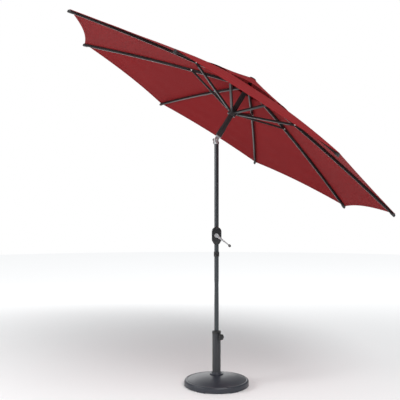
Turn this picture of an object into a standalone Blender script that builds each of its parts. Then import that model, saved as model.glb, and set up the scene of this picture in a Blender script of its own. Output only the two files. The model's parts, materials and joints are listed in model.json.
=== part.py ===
"""Garden umbrella with a crank, a push-button tilt and a round weighted base, open and tilted to its right.

Metres, +Z up. The origin is on the floor under the pole. The umbrella above its tilt joint is modelled
upright in the tilt joint's own frame, with every rib, strut and cloth sector under an empty on its hinge.
"""

from math import atan2, cos, hypot, pi, radians, sin

import bmesh
import bpy
from mathutils import Matrix, Vector

# Whole umbrella
FIT = 0.0003  # gap between pieces that touch
TILT = radians(31.17)  # lean of the open umbrella, toward +X
TILT_HEIGHT = 1.7613  # tilt axis above the floor
RIBS = 8
FIRST_RIB = radians(208.74)  # bearing of rib 1 about the upper pole, from the leaning side
RIB_STEP = radians(-45)

# Base and its post
BASE_R = 0.230
SKIRT_H = 0.043
DOME_H = 0.079
SHELL_WALL = 0.004
FOOT_GAP = 0.0045  # height of the openings between the rim's feet
FEET = 6
PAD_H = 0.006
POST_R = 0.030
POST_BORE = 0.0285
POST_FLOOR = 0.0117
POST_TOP = 0.390
FLANGE_R = 0.048
DOME_RADII = (0.19, 0.15, 0.10, 0.045)  # where the dome's profile has its points

# Poles
POLE_R = 0.016
POLE_BORE = 0.0148
POLE_END = 0.0120
COLLAR_Z = 0.9375
COLLAR_H = 0.036
UPPER_R = 0.019
UPPER_BORE = 0.0178

# Clamp: a star knob and its screw, through a nut on the post, press a pad on the pole
CLAMP_Z = POST_TOP - 0.039
CLAMP_BEARING = radians(-55)
SCREW_R = 0.004
SCREW_HOLE = 0.0044
PAD_R = 0.005
PAD_INNER = POLE_R + FIT
PAD_DEPTH = 0.003
NUT_R = 0.009
NUT_END = 0.043
KNOB_R = 0.0225
KNOB_FACE = 0.048
KNOB_DEPTH = 0.017
KNOB_LOBES = 7

# Crank
HOUSING_Z = 1.072
HOUSING_HALF_W = 0.0345
HOUSING_HALF_H = 0.0615
HOUSING_FRONT = 0.040
HOUSING_BACK = 0.024
CRANK_LENGTH = 0.114
CRANK_ANGLE = radians(-38)

# Tilt knuckle, about its hinge axis
KNUCKLE_R = 0.0185
KNUCKLE_EYE = 0.0152
KNUCKLE_REACH = 0.019  # from the hinge axis to each half's shoulder
TONGUE_HALF = 0.0087
BUTTON_DROP = 0.004
BUTTON_R = 0.006

# Crown, runner, ribs and struts, in the upper pole's frame
CROWN_R = 0.035  # rib hinges
CROWN_Z = 0.4334
RUNNER_R = 0.042  # strut hinges
RUNNER_Z = 0.2291
RUNNER_BORE = 0.0235  # passes over the tilt sleeve
TIP_R = 1.330
RIB_REACH = TIP_R - CROWN_R
RIB_FALL = 0.2997  # drop of the rib's straight chord
RIB_BOW = 0.0161  # rise of its middle above that chord
RIB_HALF_W = 0.006
RIB_HALF_H = 0.0092
RIB_WALL = 0.001
RIB_SPANS = 8
STRUT_JOINT = 0.3131  # share of the rib's length at which the strut holds it
PIN_R = 0.0025
PIN_HOLE = 0.0029

# Cloth
CLOTH = 0.0012
CLOTH_LIFT = 0.0106  # underside of the cloth above the rib's centre line
HEM_DIP = 0.035
VENT_R = 0.460
VENT_TOP = 0.0702
VENT_STAND_OFF = 0.018
VENT_DIP = 0.025
ACROSS = (-1, -0.5, 0, 0.5, 1)  # a sector's columns, from mid-gore to mid-gore

# Sides of the round pieces
ROUND = 24
SMALL_ROUND = 10
BASE_ROUND = 36


# ---- Modelling helpers ----


def clear_scene():
    for old in list(bpy.data.objects):
        bpy.data.objects.remove(old, do_unlink=True)


def material(name, colour, roughness, metallic=0.0):
    made = bpy.data.materials.new(name)
    made.use_nodes = True
    surface = made.node_tree.nodes["Principled BSDF"]
    surface.inputs["Base Color"].default_value = (*colour, 1.0)
    surface.inputs["Roughness"].default_value = roughness
    surface.inputs["Metallic"].default_value = metallic
    return made


def finished(bm):
    """The edited bmesh as a mesh whose faces point out."""
    bmesh.ops.remove_doubles(bm, verts=bm.verts, dist=1e-6)
    bmesh.ops.recalc_face_normals(bm, faces=bm.faces)
    if bm.calc_volume(signed=True) < 0:
        bmesh.ops.reverse_faces(bm, faces=bm.faces)
    mesh = bpy.data.meshes.new("shape")
    bm.to_mesh(mesh)
    bm.free()
    return mesh


def turned(outline, steps=ROUND):
    """A (radius, height) outline turned about Z; one that starts and ends on the axis stays open there."""
    bm = bmesh.new()
    points = [bm.verts.new((radius, 0, height)) for radius, height in outline]
    pairs = list(zip(points, points[1:]))
    if outline[0][0] > 0 or outline[-1][0] > 0:
        pairs.append((points[-1], points[0]))
    edges = [bm.edges.new(pair) for pair in pairs]
    bmesh.ops.spin(bm, geom=points + edges, axis=(0, 0, 1), cent=(0, 0, 0), steps=steps, angle=2 * pi)
    return finished(bm)


def tube(outer, inner, low, high, steps=ROUND):
    return turned([(outer, low), (outer, high), (inner, high), (inner, low)], steps)


def rod(start, end, radius, end_radius=None, sides=SMALL_ROUND):
    """A round bar, or a cone frustum, between two points."""
    start, end = Vector(start), Vector(end)
    along = end - start
    place = Matrix.Translation((start + end) / 2) @ along.to_track_quat("Z", "Y").to_matrix().to_4x4()
    bm = bmesh.new()
    bmesh.ops.create_cone(
        bm,
        cap_ends=True,
        segments=sides,
        radius1=radius,
        radius2=radius if end_radius is None else end_radius,
        depth=along.length,
        matrix=place,
    )
    return finished(bm)


def block(low, high):
    low, high = Vector(low), Vector(high)
    bm = bmesh.new()
    bmesh.ops.create_cube(
        bm, size=1, matrix=Matrix.Translation((low + high) / 2) @ Matrix.Diagonal((*(high - low), 1))
    )
    return finished(bm)


def prism(outline, y_from, y_to):
    """An (x, z) outline extruded along Y."""
    bm = bmesh.new()
    face = bm.faces.new([bm.verts.new((x, y_from, z)) for x, z in outline])
    grown = bmesh.ops.extrude_face_region(bm, geom=[face])["geom"]
    moved = [item for item in grown if isinstance(item, bmesh.types.BMVert)]
    bmesh.ops.translate(bm, verts=moved, vec=(0, y_to - y_from, 0))
    return finished(bm)


def arc(centre, radius, start, end, spans):
    """Points of an arc from angle start to end, both included."""
    angles = [start + (end - start) * i / spans for i in range(spans + 1)]
    return [(centre[0] + radius * cos(a), centre[1] + radius * sin(a)) for a in angles]


def turned_copy(mesh, angle):
    """The mesh turned about Z."""
    copy = mesh.copy()
    copy.transform(Matrix.Rotation(angle, 4, "Z"))
    return copy


def around(mesh, count, first=0.0):
    return [turned_copy(mesh, first + 2 * pi * i / count) for i in range(count)]


def carved(mesh, join=(), cut=()):
    """The mesh after Boolean unions with the join meshes, then differences with the cut meshes."""
    body = bpy.data.objects.new("carved", mesh)
    bpy.context.collection.objects.link(body)
    helpers = []
    for operation, tools in (("UNION", join), ("DIFFERENCE", cut)):
        for tool in tools:
            helper = bpy.data.objects.new("tool", tool)
            bpy.context.collection.objects.link(helper)
            helpers.append(helper)
            step = body.modifiers.new(operation.lower(), "BOOLEAN")
            step.operation = operation
            step.solver = "EXACT"
            step.object = helper
    bpy.context.view_layer.update()
    evaluated = body.evaluated_get(bpy.context.evaluated_depsgraph_get())
    result = bpy.data.meshes.new_from_object(evaluated)
    for used in [body] + helpers:
        bpy.data.objects.remove(used, do_unlink=True)
    return result


def skin(rings):
    """A bmesh through rings of points, capped at both ends."""
    bm = bmesh.new()
    rows = [[bm.verts.new(point) for point in ring] for ring in rings]
    for row, following in zip(rows, rows[1:]):
        for i in range(len(row)):
            j = (i + 1) % len(row)
            bm.faces.new((row[i], row[j], following[j], following[i]))
    bm.faces.new(rows[0])
    bm.faces.new(rows[-1])
    return bm


def cloth_solid(grid):
    """A sheet of cloth, closed all round: grid holds rows of points on its underside."""
    bm = bmesh.new()
    layers = [
        [[bm.verts.new((x, y, z + rise)) for x, y, z in row] for row in grid] for rise in (0, CLOTH)
    ]
    for layer in layers:
        for row, following in zip(layer, layer[1:]):
            for i in range(len(row) - 1):
                bm.faces.new((row[i], row[i + 1], following[i + 1], following[i]))
    under, over = [
        layer[0] + [row[-1] for row in layer[1:-1]] + layer[-1][::-1] + [row[0] for row in layer[-2:0:-1]]
        for layer in layers
    ]
    for i in range(len(under)):
        j = (i + 1) % len(under)
        bm.faces.new((under[i], under[j], over[j], over[i]))
    return finished(bm)


def node(name, mesh, finish, parent=None, location=(0, 0, 0), rotation=(0, 0, 0)):
    """One sub-part of the umbrella."""
    made = bpy.data.objects.new(name, mesh)
    bpy.context.collection.objects.link(made)
    if not mesh.materials:
        mesh.materials.append(finish)
        mesh.shade_smooth()
        mesh.set_sharp_from_angle(angle=radians(35))
    made.parent = parent
    made.location = location
    made.rotation_euler = rotation
    return made


def axis_frame(name, location, rotation=(0, 0, 0), parent=None):
    """An empty on a joint's axis."""
    made = bpy.data.objects.new(name, None)
    bpy.context.collection.objects.link(made)
    made.parent = parent
    made.location = location
    made.rotation_euler = rotation
    return made


# ---- Base and post ----


def dome_height(radius):
    """Top of the base's dome at a radius."""
    inner, outer = 0.045, 0.205
    share = min(max((radius - inner) / (outer - inner), 0), 1)
    return DOME_H - (DOME_H - SKIRT_H - 0.001) * share**1.7


def base_shell():
    """The moulded shell: skirt, rounded shoulder, shallow ring groove and dome, with six feet at its rim."""
    shoulder = 0.012
    hole = POST_R + FIT
    groove = BASE_R * 0.92
    outer = [(BASE_R, 0)]
    outer += arc((BASE_R - shoulder, SKIRT_H - shoulder), shoulder, 0, pi / 2, 3)
    outer += [(groove + 0.003, SKIRT_H), (groove, SKIRT_H - 0.002), (groove - 0.003, SKIRT_H)]
    outer += [(radius, dome_height(radius)) for radius in DOME_RADII + (hole,)]
    inner = [(radius, dome_height(radius) - SHELL_WALL) for radius in (hole,) + DOME_RADII[::-1]]
    inner += arc((BASE_R - shoulder, SKIRT_H - shoulder), shoulder - SHELL_WALL, pi / 2, 0, 2)
    inner += [(BASE_R - SHELL_WALL, 0)]
    gap_half_w = 0.085
    opening = block((0.15, -gap_half_w, -0.01), (0.26, gap_half_w, FOOT_GAP))
    return carved(turned(outer + inner, BASE_ROUND), cut=around(opening, FEET, pi / FEET))


def ballast():
    """The concrete filling under the shell, round the post."""
    under = SHELL_WALL + 0.0008
    rim = BASE_R - SHELL_WALL - 0.001
    hole = POST_R + FIT
    low = PAD_H + FIT
    outline = [(hole, low), (rim, low), (rim, SKIRT_H - 0.013), (rim - 0.010, SKIRT_H - 0.006)]
    outline += [(radius, dome_height(radius) - under) for radius in DOME_RADII + (hole,)]
    return turned(outline)


def post_tube():
    """The steel post: a cup that stands in the ballast, with the clamp screw's hole near its top."""
    low = PAD_H + 0.0007
    top = POST_TOP - 0.020
    outline = [(0, low), (POST_R, low), (POST_R, top), (POST_BORE, top), (POST_BORE, POST_FLOOR), (0, POST_FLOOR)]
    hole = rod((0.02, 0, CLAMP_Z), (0.04, 0, CLAMP_Z), SCREW_HOLE)
    return carved(turned(outline), cut=[turned_copy(hole, CLAMP_BEARING)])


def post_flange():
    """The ring that covers the joint of post and dome."""
    low = DOME_H + FIT
    bore = POST_R + FIT
    return turned([(FLANGE_R, low), (FLANGE_R, low + 0.004), (FLANGE_R - 0.004, low + 0.007),
                   (FLANGE_R - 0.012, low + 0.009), (POST_R + 0.004, low + 0.016), (bore, low + 0.016), (bore, low)])


def post_sleeve():
    """The plastic reducer in the post's top, which guides the pole."""
    lip = POST_TOP - 0.020 + FIT
    low = POST_TOP - 0.085
    bore = POLE_R + 0.0005
    outline = [(POST_BORE - FIT, low), (POST_BORE - FIT, lip), (0.0315, lip), (0.0315, POST_TOP - 0.006)]
    outline += [(0.0285, POST_TOP - 0.001), (0.025, POST_TOP), (bore, POST_TOP), (bore, low)]
    hole = rod((0.010, 0, CLAMP_Z), (0.035, 0, CLAMP_Z), PAD_R + 0.0004)
    return carved(turned(outline), cut=[turned_copy(hole, CLAMP_BEARING)])


def clamp_boss():
    """The nut welded to the post, shaped to its side."""
    outer = rod((POST_R - 0.004, 0, CLAMP_Z), (NUT_END, 0, CLAMP_Z), NUT_R, NUT_R - 0.0005)
    bore = rod((0.02, 0, CLAMP_Z), (0.05, 0, CLAMP_Z), SCREW_HOLE)
    post = rod((0, 0, CLAMP_Z - 0.03), (0, 0, CLAMP_Z + 0.03), POST_R + FIT, sides=64)
    return turned_copy(carved(outer, cut=[bore, post]), CLAMP_BEARING)


def knob():
    """A star knob with seven lobes and a domed middle, about Z."""
    steps = KNOB_LOBES * 6
    outline = []
    for i in range(steps):
        angle = 2 * pi * i / steps
        radius = KNOB_R * (0.86 + 0.14 * cos(KNOB_LOBES * angle))
        outline.append((radius * cos(angle), radius * sin(angle)))
    levels = [(0.90, 0), (1, 0.002), (1, KNOB_DEPTH - 0.006), (0.90, KNOB_DEPTH - 0.003), (0.45, KNOB_DEPTH)]
    return finished(skin([[(x * size, y * size, z) for x, y in outline] for size, z in levels]))


def build_base():
    node("base_shell", base_shell(), CHARCOAL)
    node("base_ballast", ballast(), CONCRETE)
    node("centre_foot", turned([(0, 0), (0.045, 0), (0.045, PAD_H), (0, PAD_H)]), RUBBER)
    node("post_tube", post_tube(), CHARCOAL_STEEL)
    node("post_flange", post_flange(), CHARCOAL)
    node("post_sleeve", post_sleeve(), BLACK_PLASTIC)
    node("clamp_boss", clamp_boss(), CHARCOAL_STEEL)
    clamp = axis_frame("clamp_axis", (0, 0, CLAMP_Z), (pi / 2, 0, CLAMP_BEARING + pi / 2))
    node("clamp_pad", rod((0, 0, PAD_INNER), (0, 0, PAD_INNER + PAD_DEPTH), PAD_R), RUBBER, clamp)
    screw_start = PAD_INNER + PAD_DEPTH + FIT
    node("clamp_screw", rod((0, 0, screw_start), (0, 0, KNOB_FACE - FIT), SCREW_R), STEEL, clamp)
    node("clamp_knob", knob(), BLACK_PLASTIC, clamp, (0, 0, KNOB_FACE))


# ---- Poles below the tilt ----


def pole_foot():
    """The plug in the pole's lower end, on which the pole turns."""
    shoulder = POLE_END + 0.008
    spigot = POLE_BORE - 0.0005
    top = POLE_END + 0.040
    return turned([(0, POLE_END), (0.0145, POLE_END), (POLE_R, POLE_END + 0.0015), (POLE_R, shoulder),
                   (spigot, shoulder), (spigot, top), (0, top)])


def coupling_collar():
    low, high = COLLAR_Z - COLLAR_H / 2, COLLAR_Z + COLLAR_H / 2
    rim = 0.0195
    bore = POLE_R + FIT
    return turned([(rim - 0.0015, low), (rim, low + 0.002), (rim, high - 0.002), (rim - 0.0015, high),
                   (bore, high), (bore, low)])


def knuckle_profile(shoulder):
    """An eye round the tilt axis, drawn out square to its shoulder."""
    side = 1 if shoulder > 0 else -1
    eye = arc((0, 0), KNUCKLE_EYE, 0, -side * pi, 10)
    return [(KNUCKLE_EYE, shoulder)] + eye + [(-KNUCKLE_EYE, shoulder)]


def knuckle_lower():
    """The fork on the lower pole, with the push button's guide on the side away from the lean."""
    cheek_in, cheek_out = TONGUE_HALF + 0.0006, 0.0160
    root = -KNUCKLE_REACH - 0.017
    eye = knuckle_profile(-KNUCKLE_REACH - 0.001)
    solid = rod((0, 0, root), (0, 0, -KNUCKLE_REACH), KNUCKLE_R, sides=ROUND)
    joined = [
        rod((0, 0, root - 0.030), (0, 0, root + 0.002), POLE_BORE - FIT, sides=ROUND),
        prism(eye, cheek_in, cheek_out),
        prism(eye, -cheek_out, -cheek_in),
        block((-0.0235, -0.0105, root + 0.001), (-0.010, 0.0105, -KNUCKLE_REACH - 0.002)),
        block((-0.0240, -0.0095, root + 0.002), (-0.0185, 0.0095, 0.006)),
    ]
    pin_bore = rod((0, -0.03, 0), (0, 0.03, 0), 0.00435, sides=24)
    button_bore = rod((-0.03, 0, -BUTTON_DROP), (-0.016, 0, -BUTTON_DROP), BUTTON_R + 0.0004, sides=24)
    return carved(solid, joined, [pin_bore, button_bore])


def tilt_pin():
    """The tilt hinge's pin and its two heads, about Z."""
    half, head = 0.0163, 0.0190
    return turned([(0, -head), (0.0065, -head), (0.0065, -half), (0.004, -half),
                   (0.004, half), (0.0065, half), (0.0065, head), (0, head)], 24)


def build_pole():
    node("pole_foot", pole_foot(), BLACK_PLASTIC)
    collar_gap = FIT / 2
    node("lower_pole", tube(POLE_R, POLE_BORE, POLE_END + 0.008 + FIT, COLLAR_Z - collar_gap), BLUE_BLACK)
    node("coupling_collar", coupling_collar(), BLACK_PLASTIC)
    top = TILT_HEIGHT - KNUCKLE_REACH - 0.017 - FIT
    node("middle_pole", tube(POLE_R, POLE_BORE, COLLAR_Z + collar_gap, top), BLUE_BLACK)
    knuckle = axis_frame("tilt_fixed", (0, 0, TILT_HEIGHT))
    node("knuckle_lower", knuckle_lower(), SILVER, knuckle)
    node("tilt_pin", tilt_pin(), STEEL, knuckle, rotation=(pi / 2, 0, 0))
    button = turned([(0, 0), (BUTTON_R, 0), (BUTTON_R, 0.006), (BUTTON_R - 0.001, 0.0075), (0, 0.0082)], 24)
    node("tilt_button", button, BLACK_PLASTIC, knuckle, (-0.0203, 0, -BUTTON_DROP), (0, -pi / 2, 0))


# ---- Crank ----


def housing_half(front):
    """Half of the crank housing: domed top, straight sides and a tapered bottom, closed on the pole."""
    waist = HOUSING_HALF_H - HOUSING_HALF_W
    outline = arc((0, waist), HOUSING_HALF_W, 0, pi, 12)
    outline += [(-HOUSING_HALF_W, -0.038), (-0.021, -HOUSING_HALF_H), (0.021, -HOUSING_HALF_H),
                (HOUSING_HALF_W, -0.038)]
    face = -HOUSING_FRONT if front else HOUSING_BACK
    parting = -FIT / 2 if front else FIT / 2
    rim_width = 0.004
    inset = 1 - rim_width / HOUSING_HALF_W
    levels = [(1, parting), (1, face - rim_width * (1 if face > 0 else -1)), (inset, face)]
    solid = finished(skin([[(x * size, y, z * size) for x, z in outline] for size, y in levels]))
    cuts = [rod((0, 0, -0.1), (0, 0, 0.1), POLE_R + FIT, sides=ROUND)]
    if front:
        cuts.append(rod((0, -0.036, 0), (0, -0.008, 0), 0.0165, sides=24))
        cuts.append(rod((0, -0.050, 0), (0, -0.030, 0), 0.0066))
    return carved(solid, cut=cuts)


def cord_drum():
    """The spool behind the housing's front, about Z."""
    low, high, flange, core = 0.0172, 0.0355, 0.0155, 0.010
    return turned([(0, low), (flange, low), (flange, low + 0.0015), (core, low + 0.003),
                   (core, high - 0.003), (flange, high - 0.0015), (flange, high), (0, high)], 24)


def crank_arm():
    """Shaft, hub, tapered arm, end eye and the grip's pin, about Z, with the arm along X."""
    arm_z = 0.0475
    hub = rod((0, 0, 0.041), (0, 0, 0.053), 0.015, 0.0135, sides=24)
    joined = [
        rod((0, 0, 0.0358), (0, 0, 0.042), 0.006),
        rod((0.004, 0, arm_z), (CRANK_LENGTH, 0, arm_z), 0.0058, 0.0038, sides=10),
        rod((CRANK_LENGTH, 0, arm_z - 0.0055), (CRANK_LENGTH, 0, arm_z + 0.0055), 0.0072),
        rod((CRANK_LENGTH, 0, arm_z), (CRANK_LENGTH, 0, 0.098), 0.0032),
    ]
    return carved(hub, joined)


def crank_grip():
    low, high, bore = 0.0535, 0.0975, 0.0038
    return turned([(0.0075, low), (0.0092, low + 0.004), (0.0085, low + 0.020), (0.0095, high - 0.006),
                   (0.0070, high), (bore, high), (bore, low)], 20)


def build_crank():
    node("crank_housing_rear", housing_half(False), BLACK_PLASTIC, location=(0, 0, HOUSING_Z))
    node("crank_housing_front", housing_half(True), BLACK_PLASTIC, location=(0, 0, HOUSING_Z))
    shaft = axis_frame("crank_axis", (0, 0, HOUSING_Z), (pi / 2, 0, 0))
    node("cord_drum", cord_drum(), BLACK_PLASTIC, shaft)
    arm = node("crank_arm", crank_arm(), LIGHT_GREY, shaft, rotation=(0, 0, CRANK_ANGLE))
    grip = axis_frame("grip_axis", (CRANK_LENGTH, 0, 0), parent=arm)
    node("crank_grip", crank_grip(), BLACK_PLASTIC, grip)


# ---- Upper pole, crown and runner ----


def knuckle_upper():
    """The tongue that turns on the tilt pin, its shoulder and the plug in the upper pole."""
    shoulder_top = KNUCKLE_REACH + 0.007
    solid = rod((0, 0, KNUCKLE_REACH), (0, 0, shoulder_top), KNUCKLE_R, sides=ROUND)
    plug = rod((0, 0, shoulder_top - 0.001), (0, 0, shoulder_top + 0.034), UPPER_BORE - FIT, sides=ROUND)
    tongue = prism(knuckle_profile(KNUCKLE_REACH + 0.001), -TONGUE_HALF, TONGUE_HALF)
    pin_bore = rod((0, -0.03, 0), (0, 0.03, 0), 0.00435, sides=24)
    return carved(solid, [plug, tongue], [pin_bore])


def crown_hub():
    """The slotted crown: eight radial slots with pin holes, a plug in the pole and a post for the vent cap."""
    half, plug, core = 0.013, UPPER_BORE - FIT, 0.014
    outline = [(0, -0.055), (plug, -0.055), (plug, -half), (0.041, -half), (0.043, -half + 0.002),
               (0.043, half - 0.002), (0.041, half), (core, half + 0.010), (core, VENT_TOP - FIT),
               (0.0045, VENT_TOP - FIT), (0.0045, 0.055), (0, 0.055)]
    slot = block((0.0225, -RIB_HALF_W - 0.0005, -0.04), (0.06, RIB_HALF_W + 0.0005, 0.04))
    pin_hole = rod((CROWN_R, -0.0096, 0), (CROWN_R, 0.0096, 0), PIN_HOLE)
    return carved(turned(outline), cut=around(slot, RIBS, FIRST_RIB) + around(pin_hole, RIBS, FIRST_RIB))


def crown_finial():
    """The low button that holds the vent cap's middle down."""
    low = VENT_TOP + CLOTH + FIT
    return turned([(0, 0.057), (0.004, 0.057), (0.004, low), (0.026, low), (0.026, low + 0.0015),
                   (0.018, low + 0.0045), (0, low + 0.006)], 24)


def runner_hub():
    """The sliding collar with eight lugs, each between the cheeks of a strut."""
    wall, low, high = 0.0315, -0.030, 0.018
    body = turned([(wall - 0.002, low), (wall, low + 0.002), (wall, high - 0.002), (wall - 0.002, high),
                   (RUNNER_BORE, high), (RUNNER_BORE, low)])
    lug_r = 0.0065
    outline = arc((RUNNER_R, 0), lug_r, -pi / 2, pi / 2, 6) + [(0.028, lug_r), (0.028, -lug_r)]
    lug = prism(outline, -RIB_HALF_W, RIB_HALF_W)
    pin_hole = rod((RUNNER_R, -0.01, 0), (RUNNER_R, 0.01, 0), PIN_HOLE)
    return carved(body, around(lug, RIBS, FIRST_RIB), around(pin_hole, RIBS, FIRST_RIB))


# ---- Ribs and struts ----


def rib_drop(share):
    """Height of the rib's centre line at a share of its reach, from its hinge."""
    return -RIB_FALL * share + 4 * RIB_BOW * share * (1 - share)


def strut_pin():
    """The strut pin's place in the rib's frame."""
    return STRUT_JOINT * RIB_REACH, rib_drop(STRUT_JOINT)


def rib():
    """A hollow rib with a closed cap at its tip, a hinge pin at its root and the strut pin's hole."""

    def ring(x, half_w, top, bottom):
        middle = rib_drop(x / RIB_REACH)
        corners = ((-half_w, bottom), (half_w, bottom), (half_w, top), (-half_w, top))
        return [(x, y, middle + z) for y, z in corners]

    root = -0.008
    cap_start = RIB_REACH - 0.036
    stations = [root] + [RIB_REACH * i / RIB_SPANS for i in range(1, RIB_SPANS)]
    cap_half_w, cap_bottom = 0.008, -0.0115
    outer = [ring(x, RIB_HALF_W, RIB_HALF_H, -RIB_HALF_H) for x in stations + [cap_start]]
    outer += [ring(x, cap_half_w, RIB_HALF_H, cap_bottom) for x in (cap_start + 0.001, RIB_REACH - 0.005)]
    outer += [ring(RIB_REACH + 0.002, 0.005, 0.0055, -0.0075)]
    bore_w, bore_h = RIB_HALF_W - RIB_WALL, RIB_HALF_H - RIB_WALL
    inner = [ring(x, bore_w, bore_h, -bore_h) for x in stations + [cap_start - 0.004]]
    shell = finished(skin(inner[::-1] + outer))
    hinge_pin = rod((0, -0.0086, 0), (0, 0.0086, 0), PIN_R)
    x, z = strut_pin()
    pin_hole = rod((x, -0.02, z), (x, 0.02, z), 0.0052, sides=16)
    return carved(shell, [hinge_pin], [pin_hole])


def strut():
    """A flat tube along X from its lower pin: one forked end holds a runner lug, the other a rib."""
    half_h, half_w, wall = 0.007, 0.008, 0.0015
    pin_x, pin_z = strut_pin()
    length = hypot(CROWN_R + pin_x - RUNNER_R, CROWN_Z + pin_z - RUNNER_Z)
    outline = arc((length, 0), half_h, -pi / 2, pi / 2, 6) + arc((0, 0), half_h, pi / 2, 3 * pi / 2, 6)
    solid = prism(outline, -half_w, half_w)
    inside = half_w - wall
    rib_fork = length - 0.038
    cuts = [
        block((-0.02, -inside, -half_h + wall), (length + 0.02, inside, half_h - wall)),
        block((-0.02, -inside, -0.02), (0.0105, inside, 0.02)),
        block((rib_fork, -inside, -0.02), (length + 0.02, inside, 0.02)),
    ]
    forked = carved(solid, cut=cuts)
    pins = []
    for x in (0, length):
        pins.append(rod((x, -half_w, 0), (x, half_w, 0), PIN_R))
        for side in (-1, 1):
            pins.append(rod((x, side * (half_w - 0.0002), 0), (x, side * (half_w + 0.0014), 0), 0.0042, 0.003))
    return carved(forked, pins)


# ---- Cloth ----


def sector_point(radius, across, height):
    """A point between mid-gore edges, in the rib's frame: across runs from -1 to 1 and is 0 on the rib."""
    half_gore = pi / RIBS
    chord_in = radius * sin(half_gore) ** 2
    chord_out = radius * sin(half_gore) * cos(half_gore)
    side = 1 if across >= 0 else -1
    seam_gap = side * 0.0003 * abs(across)
    return (radius - chord_in * abs(across) - CROWN_R, chord_out * across - seam_gap, height)


def hem_pull(across):
    """How far the hem is drawn in, as a share of its dip at mid-gore."""
    return 1 - (1 - abs(across)) ** 2


def canopy_sector():
    """The cloth that one rib carries, from the vent opening to the hem and from mid-gore to mid-gore."""
    rows = []
    for i in range(1, RIB_SPANS + 1):
        share = i / RIB_SPANS
        row = []
        for across in ACROSS:
            pull = HEM_DIP / cos(pi / RIBS) * hem_pull(across) / RIB_REACH if i == RIB_SPANS else 0
            at = share - pull - (0.004 if i == RIB_SPANS else 0)
            row.append(sector_point(CROWN_R + RIB_REACH * at, across, rib_drop(at) + CLOTH_LIFT))
        rows.append(row)
    return cloth_solid(rows)


def vent_sector():
    """The vent cap's share over one rib: it lies on the canopy at its tip and stands off between the ribs."""
    inner = 0.016
    tip_share = (VENT_R - CROWN_R) / RIB_REACH
    tip_height = rib_drop(tip_share) + CLOTH_LIFT + CLOTH + 0.001
    spans = 3
    rows = []
    for i in range(spans + 1):
        share = i / spans
        row = []
        for across in ACROSS:
            pull = VENT_DIP * hem_pull(across) if i == spans else 0
            radius = inner + (VENT_R - inner) * share - pull
            level = (radius - inner) / (VENT_R - inner)
            lift = VENT_STAND_OFF * hem_pull(across) * share**2
            row.append(sector_point(radius, across, VENT_TOP + (tip_height - VENT_TOP) * level + lift))
        rows.append(row)
    return cloth_solid(rows)


def build_upper():
    """Everything above the tilt joint, upright in the joint's frame and leaned over with it."""
    tilt = axis_frame("tilt_axis", (0, 0, TILT_HEIGHT), (0, TILT, 0))
    shoulder = KNUCKLE_REACH + 0.007 + FIT
    node("knuckle_upper", knuckle_upper(), SILVER, tilt)
    node("upper_pole", tube(UPPER_R, UPPER_BORE, shoulder, CROWN_Z - 0.013 - FIT), BLACK_METAL, tilt)
    node("tilt_sleeve", tube(0.0225, UPPER_R + FIT, shoulder, shoulder + 0.068), BLACK_PLASTIC, tilt)
    crown = axis_frame("crown_centre", (0, 0, CROWN_Z), parent=tilt)
    node("crown_hub", crown_hub(), BLACK_PLASTIC, crown)
    node("crown_finial", crown_finial(), BLACK_PLASTIC, crown)
    runner = axis_frame("runner_slide", (0, 0, RUNNER_Z), parent=tilt)
    node("runner_hub", runner_hub(), BLACK_PLASTIC, runner)
    shapes = {"rib": rib(), "canopy": canopy_sector(), "vent": vent_sector(), "strut": strut()}
    pin_x, pin_z = strut_pin()
    strut_rise = atan2(CROWN_Z + pin_z - RUNNER_Z, CROWN_R + pin_x - RUNNER_R)
    for i in range(RIBS):
        bearing = FIRST_RIB + RIB_STEP * i
        root = (CROWN_R * cos(bearing), CROWN_R * sin(bearing), 0)
        hinge = axis_frame(f"rib_hinge_{i + 1}", root, (0, 0, bearing), crown)
        node(f"rib_{i + 1}", shapes["rib"], BLACK_METAL, hinge)
        node(f"canopy_{i + 1}", shapes["canopy"], CLOTH_RED, hinge)
        node(f"vent_{i + 1}", shapes["vent"], CLOTH_RED, hinge)
        foot = (RUNNER_R * cos(bearing), RUNNER_R * sin(bearing), 0)
        pivot = axis_frame(f"strut_hinge_{i + 1}", foot, (0, 0, bearing), runner)
        node(f"strut_{i + 1}", shapes["strut"], BLACK_METAL, pivot, rotation=(0, -strut_rise, 0))


clear_scene()
CLOTH_RED = material("canopy cloth", (0.30, 0.022, 0.030), 0.85)
BLACK_METAL = material("black painted aluminium", (0.018, 0.019, 0.021), 0.45, 0.4)
BLUE_BLACK = material("blue-black painted pole", (0.035, 0.040, 0.046), 0.35, 0.5)
SILVER = material("silver cast knuckle", (0.45, 0.46, 0.47), 0.40, 0.9)
STEEL = material("bright steel", (0.60, 0.60, 0.60), 0.30, 1.0)
BLACK_PLASTIC = material("black plastic", (0.022, 0.022, 0.024), 0.50)
LIGHT_GREY = material("light grey plastic", (0.42, 0.43, 0.44), 0.45)
CHARCOAL = material("charcoal resin", (0.070, 0.078, 0.090), 0.40)
CHARCOAL_STEEL = material("charcoal painted steel", (0.070, 0.078, 0.090), 0.35, 0.3)
CONCRETE = material("concrete", (0.42, 0.41, 0.39), 0.95)
RUBBER = material("black rubber", (0.02, 0.02, 0.02), 0.90)
build_base()
build_pole()
build_crank()
build_upper()
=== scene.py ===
"""A garden umbrella with a crank and a push-button tilt, open over its round weighted base."""

import json
from math import cos, pi, radians, sin

import bmesh
import bpy
from mathutils import Matrix, Vector


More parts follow.
